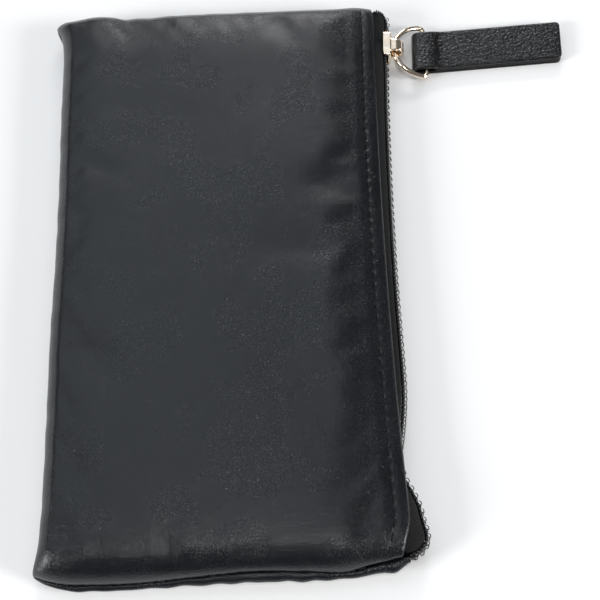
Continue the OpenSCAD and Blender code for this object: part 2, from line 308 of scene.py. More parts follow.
def grid_faces(n, m, start=0, flip=False, wrap=False):
    faces = []
    for i in range(n - 1):
        for j in range(m if wrap else m - 1):
            k = (j + 1) % m
            f = (start + i * m + j, start + (i + 1) * m + j, start + (i + 1) * m + k, start + i * m + k)
            faces.append(f[::-1] if flip else f)
    return faces


def shell(outer, inner, flip=False):
    """Closed sheet between two grids of the same size."""
    n, m = outer.shape[:2]
    half = n * m
    faces = grid_faces(n, m, 0, flip) + grid_faces(n, m, half, not flip)
    rim = [(i, 0) for i in range(n)] + [(n - 1, j) for j in range(1, m)]
    rim += [(i, m - 1) for i in range(n - 2, -1, -1)] + [(0, j) for j in range(m - 2, 0, -1)]
    ids = [i * m + j for i, j in rim]
    for a, b in zip(ids, ids[1:] + ids[:1]):
        f = (a, a + half, b + half, b)
        faces.append(f[::-1] if flip else f)
    return np.concatenate([outer.reshape(-1, 3), inner.reshape(-1, 3)]), faces


def unit(v):
    return v / np.maximum(np.linalg.norm(v, axis=-1, keepdims=True), 1e-12)


def frames(points, up):
    """Tangent, side and up directions along a polyline, kept close to a given up."""
    tangent = unit(np.gradient(points, axis=0))
    up = np.broadcast_to(np.asarray(up, float), points.shape)
    side = unit(np.cross(tangent, up))
    return tangent, side, np.cross(side, tangent)


def sweep(points, section, up=(0, 0, 1), scale=None, closed=False):
    """Closed tube: the section's (side, up) points carried along a line of points."""
    points = np.asarray(points, float)
    section = np.asarray(section, float)
    tangent, side, top = frames(points, up)
    if closed:
        wrapped = np.concatenate([points[-1:], points, points[:1]])
        tangent, side, top = (a[1:-1] for a in frames(wrapped, np.asarray(up, float)))
    size = np.ones(len(points)) if scale is None else np.asarray(scale, float)
    n, m = len(points), len(section)
    verts = (
        points[:, None]
        + side[:, None] * (section[None, :, :1] * size[:, None, None])
        + top[:, None] * (section[None, :, 1:] * size[:, None, None])
    ).reshape(-1, 3)
    faces = grid_faces(n, m, 0, False, True)
    if closed:
        faces += [((n - 1) * m + j, j, (j + 1) % m, (n - 1) * m + (j + 1) % m) for j in range(m)]
        return verts, faces
    faces.append(tuple(range(m)))
    faces.append(tuple((n - 1) * m + j for j in reversed(range(m))))
    return verts, faces


def circle(r, sides=10):
    a = np.arange(sides) * 2 * math.pi / sides
    return np.stack([r * np.cos(a), r * np.sin(a)], axis=1)


def stitch_line(parts, points, outward, pitch, share=0.72, r=THREAD_R, dive=0.45, proud=0.0, start=0.5):
    """Sewn stitches along a line: each is a short thread whose two ends dive into the leather."""
    run = np.concatenate([[0], np.cumsum(np.linalg.norm(np.diff(points, axis=0), axis=1))])
    count = int((run[-1] - 2 * start) / pitch)
    u = np.linspace(0, 1, 9)
    depth = -dive * np.abs(2 * u - 1) ** 5 + proud + 0.06 * np.sin(math.pi * u)
    fat = r * (1 - 0.35 * np.abs(2 * u - 1) ** 4)
    for i in range(count):
        s = start + i * pitch + u * pitch * share
        at = np.stack([np.interp(s, run, points[:, k]) for k in range(3)], axis=1)
        out = unit(np.stack([np.interp(s, run, outward[:, k]) for k in range(3)], axis=1))
        verts, faces = sweep(at + out * depth[:, None], circle(1.0, 8), out[4], fat)
        parts.add(verts, faces)
    return parts


# ---------------------------------------------------------------- materials
class Look:
    """A node material that is built up a step at a time."""

    def __init__(self, name, **values):
        self.material = bpy.data.materials.new(name)
        self.material.use_nodes = True
        self.tree = self.material.node_tree
        self.shader = self.tree.nodes["Principled BSDF"]
        for key, value in values.items():
            self.shader.inputs[key.replace("_", " ")].default_value = value
        self.place = self.node("ShaderNodeTexCoord").outputs["Object"]

    def node(self, kind, links=(), settings=(), **values):
        n = self.tree.nodes.new(kind)
        for key, value in settings:
            setattr(n, key, value)
        for key, value in values.items():
            n.inputs[key.replace("_", " ")].default_value = value
        for key, source in links:
            self.tree.links.new(source, n.inputs[key])
        return n

    def noise(self, scale, detail=3.0, rough=0.55, place=None):
        return self.node("ShaderNodeTexNoise", [("Vector", place or self.place)], Scale=scale,
                         Detail=detail, Roughness=rough).outputs["Fac"]

    def bend(self, amount, scale):
        """The place, pushed about by noise, so that a regular pattern wanders."""
        n = self.node("ShaderNodeTexNoise", [("Vector", self.place)], Scale=scale, Detail=2.0)
        centred = self.node("ShaderNodeVectorMath", [(0, n.outputs["Color"])],
                            [("operation", "SUBTRACT")])
        centred.inputs[1].default_value = (0.5, 0.5, 0.5)
        sized = self.node("ShaderNodeVectorMath", [(0, centred.outputs[0])], [("operation", "SCALE")])
        sized.inputs["Scale"].default_value = amount
        return self.node("ShaderNodeVectorMath", [(0, self.place), (1, sized.outputs[0])],
                         [("operation", "ADD")]).outputs[0]

    def cells(self, scale, place=None, feature="F1", output="Distance"):
        return self.node("ShaderNodeTexVoronoi", [("Vector", place or self.place)],
                         [("feature", feature)], Scale=scale).outputs[output]

    def math(self, operation, a, b=None, clamp=False):
        n = self.node("ShaderNodeMath", settings=[("operation", operation), ("use_clamp", clamp)])
        for i, v in enumerate((a, b)):
            if v is None:
                continue
            if isinstance(v, (int, float)):
                n.inputs[i].default_value = v
            else:
                self.tree.links.new(v, n.inputs[i])
        return n.outputs[0]

    def remap(self, value, a, b, low, high):
        n = self.node("ShaderNodeMapRange", [("Value", value)], [("interpolation_type", "SMOOTHSTEP")])
        for key, v in (("From Min", a), ("From Max", b), ("To Min", low), ("To Max", high)):
            n.inputs[key].default_value = v
        return n.outputs["Result"]

    def colour(self, fac, *stops):
        """Colour ramp from (position, colour) stops, into the base colour."""
        n = self.node("ShaderNodeValToRGB", [("Fac", fac)])
        ramp_ = n.color_ramp
        while len(ramp_.elements) < len(stops):
            ramp_.elements.new(0.5)
        for e, (at, rgb) in zip(ramp_.elements, stops):
            e.position, e.color = at, (*rgb, 1)
        self.tree.links.new(n.outputs["Color"], self.shader.inputs["Base Color"])
        return self

    def rough(self, value):
        self.tree.links.new(value, self.shader.inputs["Roughness"])
        return self

    def bump(self, height, depth_mm, strength=1.0, under=None):
        n = self.node("ShaderNodeBump", [("Height", height)], Strength=strength, Distance=depth_mm * MM)
        if under is not None:
            self.tree.links.new(under, n.inputs["Normal"])
        self.tree.links.new(n.outputs["Normal"], self.shader.inputs["Normal"])
        return n.outputs["Normal"]


def leather(name, pebble_mm, depth_mm, rough, dark, light, spec=0.5, coat=0.0):
    """Grained leather cloth: rounded pebbles with creases between, of a size that wanders."""
    look = Look(name, Specular_IOR_Level=spec, Coat_Weight=coat, Coat_Roughness=0.22)
    per_m = 1 / (pebble_mm * MM)
    wander = look.bend(0.55 * pebble_mm * MM, per_m * 0.9)
    crease = look.cells(per_m, wander, "DISTANCE_TO_EDGE")
    small = look.cells(per_m * 2.1, wander, "DISTANCE_TO_EDGE")
    dome = look.remap(crease, 0.0, 0.42, 0.0, 1.0)
    tiny = look.remap(small, 0.0, 0.3, 0.0, 1.0)
    slow = look.noise(55, 3.0)
    height = look.math("ADD", look.math("MULTIPLY", dome, 0.75), look.math("MULTIPLY", tiny, 0.3))
    height = look.math("ADD", height, look.math("MULTIPLY", look.noise(per_m * 5, 2.0), 0.18))
    look.bump(height, depth_mm)
    tone = look.math("ADD", look.math("MULTIPLY", dome, 0.5), look.math("MULTIPLY", slow, 0.5))
    look.colour(tone, (0.15, dark), (0.85, light))
    worn = look.math("ADD", look.math("MULTIPLY", slow, 0.16), rough - 0.08)
    look.rough(look.math("SUBTRACT", worn, look.math("MULTIPLY", dome, 0.05)))
    return look.material


def gold(name, rough=0.16):
    look = Look(name, Metallic=1.0)
    look.colour(look.noise(420, 3.0), (0.3, (0.86, 0.70, 0.54)), (0.7, (0.96, 0.85, 0.71)))
    fine = look.noise(3500, 4.0)
    look.rough(look.math("ADD", look.math("MULTIPLY", look.noise(900, 3.0), 0.14), rough - 0.07))
    look.bump(fine, 0.006, 0.6)
    return look.material


def woven(name, dark, light, pitch_mm, rough=0.75, sheen=0.3):
    """Plain weave: threads along Y crossed by threads along X and Z."""
    look = Look(name, Sheen_Weight=sheen, Sheen_Roughness=0.5, Specular_IOR_Level=0.3)
    wander = look.bend(0.15 * pitch_mm * MM, 1 / (3 * pitch_mm * MM))
    axes = look.node("ShaderNodeSeparateXYZ", [("Vector", wander)])
    turn = 2 * math.pi / (pitch_mm * MM)
    along = look.math("SINE", look.math("MULTIPLY", axes.outputs["Y"], turn))
    side = look.math("ADD", axes.outputs["X"], axes.outputs["Z"])
    across = look.math("SINE", look.math("MULTIPLY", side, turn))
    check = look.math("MULTIPLY", along, across)
    fibre = look.noise(9000, 3.0)
    height = look.math("ADD", check, look.math("MULTIPLY", fibre, 0.5))
    look.bump(height, 0.09 * pitch_mm)
    look.colour(look.remap(height, -0.8, 1.3, 0.0, 1.0), (0.1, dark), (0.9, light))
    look.rough(look.math("ADD", look.math("MULTIPLY", fibre, 0.15), rough - 0.08))
    return look.material


def thread(name, dark, light):
    look = Look(name, Specular_IOR_Level=0.22)
    ply = look.node("ShaderNodeTexWave", [("Vector", look.bend(0.0001, 900))],
                    [("wave_type", "BANDS"), ("bands_direction", "DIAGONAL")], Scale=900, Distortion=1.0)
    look.bump(ply.outputs["Fac"], 0.05)
    look.colour(look.noise(2600, 2.0), (0.3, dark), (0.7, light))
    look.rough(look.math("ADD", look.math("MULTIPLY", look.noise(1800), 0.2), 0.5))
    return look.material


def nylon(name, dark, light, rough=0.26):
    look = Look(name, Specular_IOR_Level=0.6)
    look.colour(look.noise(1500, 2.0), (0.3, dark), (0.7, light))
    look.rough(look.math("ADD", look.math("MULTIPLY", look.noise(3000), 0.12), rough - 0.06))
    look.bump(look.noise(5200, 2.0), 0.008)
    return look.material


def spongy(name, dark, light, cell_mm, depth_mm):
    look = Look(name, Specular_IOR_Level=0.25)
    cell = look.cells(1 / (cell_mm * MM), look.bend(0.3 * cell_mm * MM, 2000))
    look.bump(look.math("ADD", cell, look.noise(4000)), depth_mm)
    tone = look.math("ADD", look.math("MULTIPLY", cell, 0.6),
                     look.math("MULTIPLY", look.noise(90), 0.4))
    look.colour(tone, (0.2, dark), (0.8, light))
    look.rough(look.math("ADD", look.math("MULTIPLY", look.noise(700), 0.12), 0.8))
    return look.material


LEATHER = leather("pouch_leather", 0.80, 0.055, 0.27, (0.0020, 0.0026, 0.0040),
                  (0.0085, 0.0102, 0.0135))
STRAP_LEATHER = leather("strap_leather", 1.25, 0.09, 0.22, (0.0015, 0.0016, 0.002),
                        (0.006, 0.0062, 0.007), 0.5)
TAPE = woven("tape_weave", (0.0015, 0.0015, 0.0020), (0.009, 0.0092, 0.010), 0.8, 0.72, 0.0)
LINING = woven("lining_weave", (0.010, 0.010, 0.012), (0.030, 0.031, 0.034), 0.4, 0.62, 0.4)
COIL = nylon("coil_nylon", (0.004, 0.004, 0.0045), (0.009, 0.009, 0.010), 0.3)
CORD = thread("cord_thread", (0.010, 0.010, 0.011), (0.022, 0.022, 0.024))
THREAD = thread("sewing_thread", (0.002, 0.002, 0.0025), (0.007, 0.007, 0.008))
GOLD = gold("pale_gold")
FOAM = spongy("foam_cells", (0.20, 0.20, 0.195), (0.33, 0.33, 0.32), 0.45, 0.12)
BOARD = spongy("fibre_board", (0.010, 0.010, 0.011), (0.026, 0.026, 0.028), 0.8, 0.05)


def opens(obj):
    """Bakes a front piece's placement into its mesh and reads its points; the front face is sewn shut at
    both ends.
    """
    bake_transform(obj)
    co = np.empty(len(obj.data.vertices) * 3)
    obj.data.vertices.foreach_get("co", co)
    return obj


# ---------------------------------------------------------------- padded leather, settled by cloth
def b_spline(values, count, length):
    """Weights of a uniform cubic B-spline with count points over length, at each value."""
    step = length / (count - 1)
    t = np.clip(np.asarray(values, float) / step, 0, count - 1 - 1e-9)
    i = t.astype(int)
    u = t - i
    weights = np.zeros((len(t), count + 2))
    shares = ((1 - u) ** 3 / 6, (3 * u**3 - 6 * u**2 + 4) / 6,
              (-3 * u**3 + 3 * u**2 + 3 * u + 1) / 6, u**3 / 6)
    for k, share in enumerate(shares):
        weights[np.arange(len(t)), i + k] += share
    inner = weights[:, 1:-1].copy()
    inner[:, 0] += weights[:, 0]
    inner[:, -1] += weights[:, -1]
    return inner


def settle(face, cap=0.9, frames_run=16):
    """Runs a coarse copy of the face as cloth, with a little pressure under it and its seams and
    mouth edge held, and keeps how far it moved, so that the fine mesh can follow."""
    count_p, count_q = 40, 70
    p = np.linspace(0, face.length_p, count_p)
    q = np.linspace(0, face.length_q, count_q)
    start = face.at(p[:, None], q[None, :])
    scale = 10.0  # the solver is steadier on a model ten times as large
    mesh = bpy.data.meshes.new("cloth_try")
    mesh.from_pydata((start.reshape(-1, 3) * MM * scale).tolist(), [], grid_faces(count_p, count_q))
    obj = bpy.data.objects.new("cloth_try", mesh)
    bpy.context.collection.objects.link(obj)
    held = obj.vertex_groups.new(name="held")
    depth = np.minimum(np.minimum(p[:, None], face.length_p - p[:, None] - 2),
                       np.minimum(q[None, :], face.length_q - q[None, :]))
    hold = 1 - ramp(depth, 1.5, 9)
    for i, w in enumerate(hold.reshape(-1)):
        if w > 0:
            held.add([i], float(w), "REPLACE")
    cloth = obj.modifiers.new("cloth", "CLOTH")
    s = cloth.settings
    s.quality = 6
    s.mass = 0.25
    s.tension_stiffness = s.compression_stiffness = 12
    s.shear_stiffness = 8
    s.bending_stiffness = 1.2
    s.use_pressure = True
    s.uniform_pressure_force = 0.12 * face.up
    s.shrink_min = -0.006
    s.vertex_group_mass = "held"
    s.pin_stiffness = 4
    s.effector_weights.gravity = 0
    cloth.collision_settings.use_collision = False
    scene = bpy.context.scene
    for f in range(1, frames_run + 1):
        scene.frame_set(f)
    dg = bpy.context.evaluated_depsgraph_get()
    done = obj.evaluated_get(dg).to_mesh()
    co = np.empty(len(mesh.vertices) * 3)
    done.vertices.foreach_get("co", co)
    moved = co.reshape(start.shape) / (MM * scale) - start
    size = np.linalg.norm(moved, axis=-1, keepdims=True)
    moved = moved * np.tanh(size / cap) * cap / np.maximum(size, 1e-9) * (1 - hold)[:, :, None]
    bpy.data.objects.remove(obj)
    bpy.data.meshes.remove(mesh)
    scene.frame_set(1)

    def relaxed(p_at, q_at):
        on_grid = p_at.ndim == 2 and np.ptp(p_at, axis=1).max() < 1e-9 and np.ptp(q_at, axis=0).max() < 1e-9
        if on_grid:
            wp = b_spline(p_at[:, 0], count_p, face.length_p)
            wq = b_spline(q_at[0, :], count_q, face.length_q)
            return np.einsum("ia,abk,jb->ijk", wp, moved, wq)
        wp = b_spline(p_at.reshape(-1), count_p, face.length_p)
        wq = b_spline(q_at.reshape(-1), count_q, face.length_q)
        return np.einsum("ia,abk,ib->ik", wp, moved, wq).reshape(*p_at.shape, 3)

    face.relaxed = relaxed
    return float(size.max())


print("cloth moved the front by up to", round(settle(FRONT), 2), "mm before its cap")


# ---------------------------------------------------------------- panels
def samples(face, roll_step, flat_step, fine=None):
    """Arc values across a face: close together round the roll, wider on the flat."""
    p = [np.arange(0, face.quarter_x, roll_step)]
    end = face.length_p
    p.append(np.arange(face.quarter_x, end - 6.5, flat_step))
    p.append(np.arange(end - 6.5, end, fine or flat_step))
    return np.append(np.concatenate(p), end)


def panel_leather(name, face, node, roll_step, flat_step, fine, along_step):
    """Outer leather of one face, with its mouth edge turned back on itself."""
    p = samples(face, roll_step, flat_step, fine)[:, None]
    q = np.concatenate([
        np.arange(0, face.quarter_near, roll_step),
        np.arange(face.quarter_near, face.length_q - face.quarter_far, along_step),
        face.length_q - np.arange(0, face.quarter_far, roll_step)[::-1],
    ])[None, :]
    mid = face.at(p, q)
    out = face.normals(p, q)
    ends = ramp(q, 0, 7) * ramp(face.length_q - q, 0, 7)
    thick = LEATHER_T * (0.45 + 0.55 * ends)[0][None, :, None] * np.ones((len(p), 1, 1))
    r = HEM_R * (0.4 + 0.6 * ends)[0][:, None]
    tangent = unit(mid[-1] - mid[-2])
    rows, normals = [mid], [out]
    for a in np.linspace(0, math.pi, 9)[1:]:
        turned = out[-1] * math.cos(a) + tangent * math.sin(a)
        rows.append((mid[-1] - out[-1] * r + turned * r)[None])
        normals.append(turned[None])
    back = np.nonzero((p[:, 0] > face.length_p - HEM) & (p[:, 0] < face.length_p - 0.2))[0][::-1][::2]
    rows.append(mid[back] - out[back] * 2 * r[None])
    normals.append(-out[back])
    mid, out = np.concatenate(rows), np.concatenate(normals)
    thick = np.broadcast_to(thick[:1], (len(mid), mid.shape[1], 1))
    verts, faces = shell(mid + out * thick / 2, mid - out * thick / 2, flip=face.up < 0)
    obj = make(name, Parts().add(verts, faces), LEATHER, None, [node], sharp=None)
    return obj


def layer(name, face, node, look, depth, thickness, p_range, q_in, step=1.6):
    """A layer inside the leather, at a depth below the middle of it."""
    p = np.linspace(*p_range, max(2, int((p_range[1] - p_range[0]) / step)))[:, None]
    q = np.linspace(q_in, face.length_q - q_in, int((face.length_q - 2 * q_in) / step))[None, :]
    mid, out = face.at(p, q), face.normals(p, q, 1.0)
    ease = 0.75 + 0.25 * ramp(np.minimum(q - q_in, face.length_q - q_in - q), 0, 8)[:, :, None]
    mid = mid - out * depth * ease
    verts, faces = shell(mid + out * thickness / 2, mid - out * thickness / 2, flip=face.up < 0)
    return make(name, Parts().add(verts, faces), look, None, [node], sharp=None)


FOAM_DEPTH = LEATHER_T / 2 + LAYER_GAP + FOAM_T / 2
LINING_DEPTH = FOAM_DEPTH + FOAM_T / 2 + LAYER_GAP + LINING_T / 2

front_leather = panel_leather("front_leather", FRONT, "front_panel", 0.5, 1.0, 0.3, 0.5)
opens(front_leather)
back_leather = panel_leather("back_leather", BACK, "back_panel", 0.5, 1.3, 0.35, 0.75)
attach(back_leather, "back_half")
for face, half in ((FRONT, "front"), (BACK, "back")):
    inner_edge = face.length_p - HEM - 1.2
    foam = layer(f"{half}_foam", face, f"{half}_interlining", FOAM, FOAM_DEPTH, FOAM_T,
                 (5.0, inner_edge), 6.0)
    cloth = layer(f"{half}_lining_cloth", face, f"{half}_lining", LINING, LINING_DEPTH,
                  LINING_T, (4.5, inner_edge), 5.0)
    for piece in (foam, cloth):
        if half == "front":
            opens(piece)
        else:
            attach(piece, "back_half")


# ---------------------------------------------------------------- topstitching and seams
def topstitch(name, face, node):
    q = np.arange(2.5, face.length_q - 2.5, 0.4)
    p = np.full_like(q, face.length_p - STITCH_IN)
    mid, out = face.at(p[None], q[None])[0], face.normals(p[None], q[None])[0]
    parts = stitch_line(Parts(), mid + out * (LEATHER_T / 2 + 0.04), out, STITCH_PITCH, 0.68,
                        THREAD_R, 0.5, start=1.5)
    return make(name, parts, THREAD, None, [node])


opens(topstitch("front_mouth_stitches", FRONT, "front_topstitch"))
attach(topstitch("back_mouth_stitches", BACK, "back_topstitch"), "back_half")


def seam_stitches(name, node, p, q):
    """Stitches that show deep in the crease between the two faces."""
    a, b = FRONT.at(p[None], q[None])[0], BACK.at(p[None], q[None] * BACK.length_q / FRONT.length_q)[0]
    line = (a + b) / 2
    middle = np.array([0.0, 0.0, SEAM_Z])
    out = unit((line - middle) * [1, 1, 0])
    parts = stitch_line(Parts(), line + out * 0.1, out, 3.0, 0.7, THREAD_R, 0.3, start=2.0)
    return make(name, parts, THREAD, "back_half", [node])


ends = np.linspace(8, FRONT.length_p - 6, 160)
sides = np.linspace(6, FRONT.length_q - 6, 260)
seam_stitches("near_seam_thread", "near_seam_stitching", ends, np.full_like(ends, 0.02))
seam_stitches("far_seam_thread", "far_seam_stitching", ends, np.full_like(ends, FRONT.length_q - 0.02))
seam_stitches("bottom_seam_thread", "bottom_seam_stitching", np.full_like(sides, 0.02), sides)


# ---------------------------------------------------------------- zip chain
SLIDER_Y = (slider_lo[1] + slider_hi[1]) / 2
CHAIN_X = 56.5
TOOTH_PITCH = 1.25
COIL_HALF = 2.1
COIL_T = 1.6
TOOTH_REACH = 0.5
TAPE_T = 0.5
PARK_Y = -80.0
# Middle line of the closed chain, from the near seam to the far seam
CHAIN_POINTS = [
    (51.0, -91.9), (53.6, -91.5), (55.9, -90.1), (57.5, -87.8), (57.6, -85.4), (57.1, -83.2),
    (56.8, -81.6), (CHAIN_X, PARK_Y), (56.2, -78.2), (55.6, -76.2), (54.3, -73.0), (52.6, -69.4),
    (51.6, -65.4), (51.7, -60.6), (52.6, -55.6), (53.6, -48.5), (54.2, -40.0), (54.1, -22.0),
    (54.0, 0.0), (54.5, 30.0), (55.3, 55.0), (55.8, 66.0), (56.2, 74.0), (56.3, 78.0),
    (CHAIN_X, 82.0), (56.8, 86.0), (57.4, 89.0), (57.3, 92.0), (56.0, 94.8), (53.5, 96.4),
]
chain = spline(CHAIN_POINTS, 0.25)
chain_z = SEAM_Z + 0.35 * bell(chain[:, 1], -88, 6) - 0.3 * bell(chain[:, 1], 60, 22)
chain_z += 0.35 * bell(chain[:, 1], -20, 30)
chain = np.column_stack([chain, chain_z])
chain_run = np.concatenate([[0], np.cumsum(np.linalg.norm(np.diff(chain, axis=0), axis=1))])
chain_out = unit(np.cross(unit(np.gradient(chain, axis=0)), (0, 0, 1)))


def chain_at(s):
    at = np.stack([np.interp(s, chain_run, chain[:, k]) for k in range(3)], axis=-1)
    out = unit(np.stack([np.interp(s, chain_run, chain_out[:, k]) for k in range(3)], axis=-1))
    return at, out


def spread(y):
    """How far each coil is pushed off the middle line, from the slider's nose to the far end."""
    return 0.9 * ramp(y, SLIDER_Y + 0.4, SLIDER_Y + 2.6)


def coil(name, node, up, phase):
    """One spiral of nylon: each turn is a long loop whose head reaches past the middle line."""
    turns = int((chain_run[-1] - 3.0) / TOOTH_PITCH)
    per_turn = 16
    r = 0.30
    k = np.arange(turns * per_turn + 1) / per_turn
    angle = 2 * math.pi * (k % 1.0)
    lag = ramp(angle, math.pi * 1.45, math.pi * 2) * 0.5 + ramp(angle, 0, math.pi * 0.55) * 0.5
    s = 1.5 + (np.floor(k) + lag + phase) * TOOTH_PITCH
    at, out = chain_at(s)
    middle = (COIL_HALF - TOOTH_REACH) / 2
    tall = (COIL_HALF + TOOTH_REACH) / 2 - r
    flat = np.sign(np.sin(angle)) * np.abs(np.sin(angle)) ** 0.6
    height = middle + tall * np.cos(angle) + spread(at[:, 1])
    line = at + out * (flat * (COIL_T / 2 - r) * 0.5 - 0.2)[:, None]
    line[:, 2] += up * height
    head = 1 + 0.16 * bell(angle, math.pi, 0.8)
    verts, faces = sweep(line, circle(r, 8), np.array([0.2, 0.9, 0.1]), head)
    return make(name, Parts().add(verts, faces), COIL, None, [node], sharp=None)


def coil_cord(name, node, up):
    s = np.linspace(1.5, chain_run[-1] - 1.5, 420)
    at, out = chain_at(s)
    at = at - out * 0.15
    at[:, 2] += up * ((COIL_HALF - TOOTH_REACH) / 2 + 0.25 + spread(at[:, 1]))
    return make(name, Parts().add(*sweep(at, circle(0.42, 8))), CORD, None, [node])


def coil_sewing(up):
    """Two rows of lock stitches that hold the coil to its tape."""
    at, out = chain_at(np.arange(2.0, chain_run[-1] - 2.0, 0.5))
    line = at.copy()
    line[:, 2] += up * (COIL_HALF - 0.45 + spread(at[:, 1]))
    return stitch_line(Parts(), line + out * (COIL_T / 2 - 0.02), out, TOOTH_PITCH * 2, 0.6, 0.14, 0.5,
                       start=0.4)


def tape(name, node, face):
    """Tape behind one coil: up from the chain, over in a soft bend, and under the turned edge."""
    up = face.up
    s = np.linspace(0.5, chain_run[-1] - 0.5, 380)
    at, out = chain_at(s)
    grid = np.linspace(0.6, face.length_q - 0.6, 900)
    edge_y = face.at(np.full_like(grid, face.length_p)[None], grid[None])[0][:, 1]
    q = np.interp(at[:, 1], np.maximum.accumulate(edge_y), grid)
    under = LEATHER_T / 2 + 2 * HEM_R + LAYER_GAP + TAPE_T / 2
    back_off = COIL_T / 2 + TAPE_T / 2
    rise = spread(at[:, 1])[:, None] * [0, 0, 1]
    foot = at - out * back_off + up * np.array([0, 0, 0.35]) + up * rise
    knee = at - out * back_off + up * np.array([0, 0, COIL_HALF - 0.15]) + up * rise
    rows = [foot + (knee - foot) * t for t in (0, 0.35, 0.7)]
    edge_p = np.full_like(q, face.length_p - 0.3)[None]
    edge = face.at(edge_p, q[None])[0] - face.normals(edge_p, q[None])[0] * under
    inward = edge - face.at(edge_p - 1.0, q[None])[0] + face.normals(edge_p - 1.0, q[None])[0] * under
    gap = np.linalg.norm(edge - knee, axis=1, keepdims=True)
    for t in np.linspace(0, 1, 8):
        h0, h1 = 2 * t**3 - 3 * t**2 + 1, t**3 - 2 * t**2 + t
        h2, h3 = -2 * t**3 + 3 * t**2, t**3 - t**2
        lift = up * np.array([0, 0, 1.0]) * np.minimum(gap, 2.2)
        rows.append(h0 * knee + h1 * lift + h2 * edge + h3 * (-inward * gap))
    for back in np.linspace(1.0, 9.0, 7):
        here = edge_p - back
        rows.append(face.at(here, q[None])[0] - face.normals(here, q[None])[0] * under)
    mid = np.stack(rows)
    dp, dq = np.gradient(mid, axis=0), np.gradient(mid, axis=1)
    normal = unit(np.cross(dp, dq))
    verts, faces = shell(mid + normal * TAPE_T / 2, mid - normal * TAPE_T / 2)
    parts = Parts().add(verts, faces)
    return make(name, parts, TAPE, None, [node], sharp=None)


for half, face, phase in (("front", FRONT, 0.0), ("back", BACK, 0.5)):
    pieces = [
        coil(f"{half}_coil", f"{half}_zip_coil", face.up, phase),
        coil_cord(f"{half}_cord", f"{half}_coil_cord", face.up),
        tape(f"{half}_tape", f"{half}_zip_tape", face),
        make(f"{half}_coil_stitches", coil_sewing(face.up), THREAD, None, ()),
    ]
    for piece in pieces:
        if half == "front":
            opens(piece)
        else:
            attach(piece, "back_half")


def bar_tack(name, node, start):
    """Close zigzag of thread over the end of the tapes."""
    parts = Parts()
    count, pitch, lean = 7, 0.34, 0.15
    for i in range(count):
        way = lean if i % 2 else -lean
        s = start + pitch * i + np.linspace(-way, way, 9)
        at, out = chain_at(s)
        line = at + out * 0.55
        line[:, 2] += np.linspace(-1.9, 1.9, 9)
        parts.add(*sweep(line, circle(0.19, 8), out[4]))
    return make(name, parts, THREAD, "back_half", [node])


bar_tack("far_tack_thread", "far_bar_tack", chain_run[-1] - 2.6)
bar_tack("near_tack_thread", "near_bar_tack", 0.6)


# ---------------------------------------------------------------- slider
def rounded(obj, radius, angle):
    """Rounds the edges that are sharper than an angle."""
    bevel = obj.modifiers.new("edges", "BEVEL")
    bevel.width, bevel.segments, bevel.limit_method = radius * MM, 3, "ANGLE"
    bevel.angle_limit = math.radians(angle)


def plate(name, outline, x0, x1, body, replaces=(), bevel=0.22):
    """Metal plate cut to a (y, z) outline between two x planes, with rounded edges."""
    n = len(outline)
    verts = [(x, y, z) for x in (x0, x1) for y, z in outline]
    faces = [tuple(range(n))[::-1], tuple(range(n, 2 * n))]
    faces += [(i, (i + 1) % n, n + (i + 1) % n, n + i) for i in range(n)]
    obj = make(name, Parts().add(verts, faces), GOLD, None, replaces, sharp=35)
    rounded(obj, bevel, 40)
    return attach(askew(obj), body)


def slider_outline(shrink):
    """Half widths along the slider: a narrow tail, straight flanks and a rounded nose."""
    lo, hi = slider_lo[1] + shrink, slider_hi[1] - shrink
    wide = (slider_hi[2] - slider_lo[2]) / 2 - shrink
    shape = [(0.0, 0.50), (0.02, 0.62), (0.06, 0.70), (0.20, 0.76), (0.30, 0.86), (0.42, 0.97),
             (0.55, 1.0), (0.84, 1.0), (0.90, 0.97), (0.95, 0.88), (0.985, 0.72), (1.0, 0.5)]
    upper = [(lo + (hi - lo) * t, SEAM_Z + wide * w) for t, w in shape]
    return upper + [(y, 2 * SEAM_Z - z) for y, z in reversed(upper)]


SLIDER_YAW = math.radians(-3)


def askew(obj):
    """Turns a slider piece a little about the slider's middle, as it sits on the bent chain."""
    pivot = Matrix.Translation(Vector((CHAIN_X, SLIDER_Y, 0)) * MM)
    obj.data.transform(pivot @ Matrix.Rotation(SLIDER_YAW, 4, "Z") @ pivot.inverted())
    return obj


outer_x = slider_hi[0] - 0.9
inner_x = slider_lo[0] + 0.9
nose_y = slider_hi[1]
tail_y = slider_lo[1]


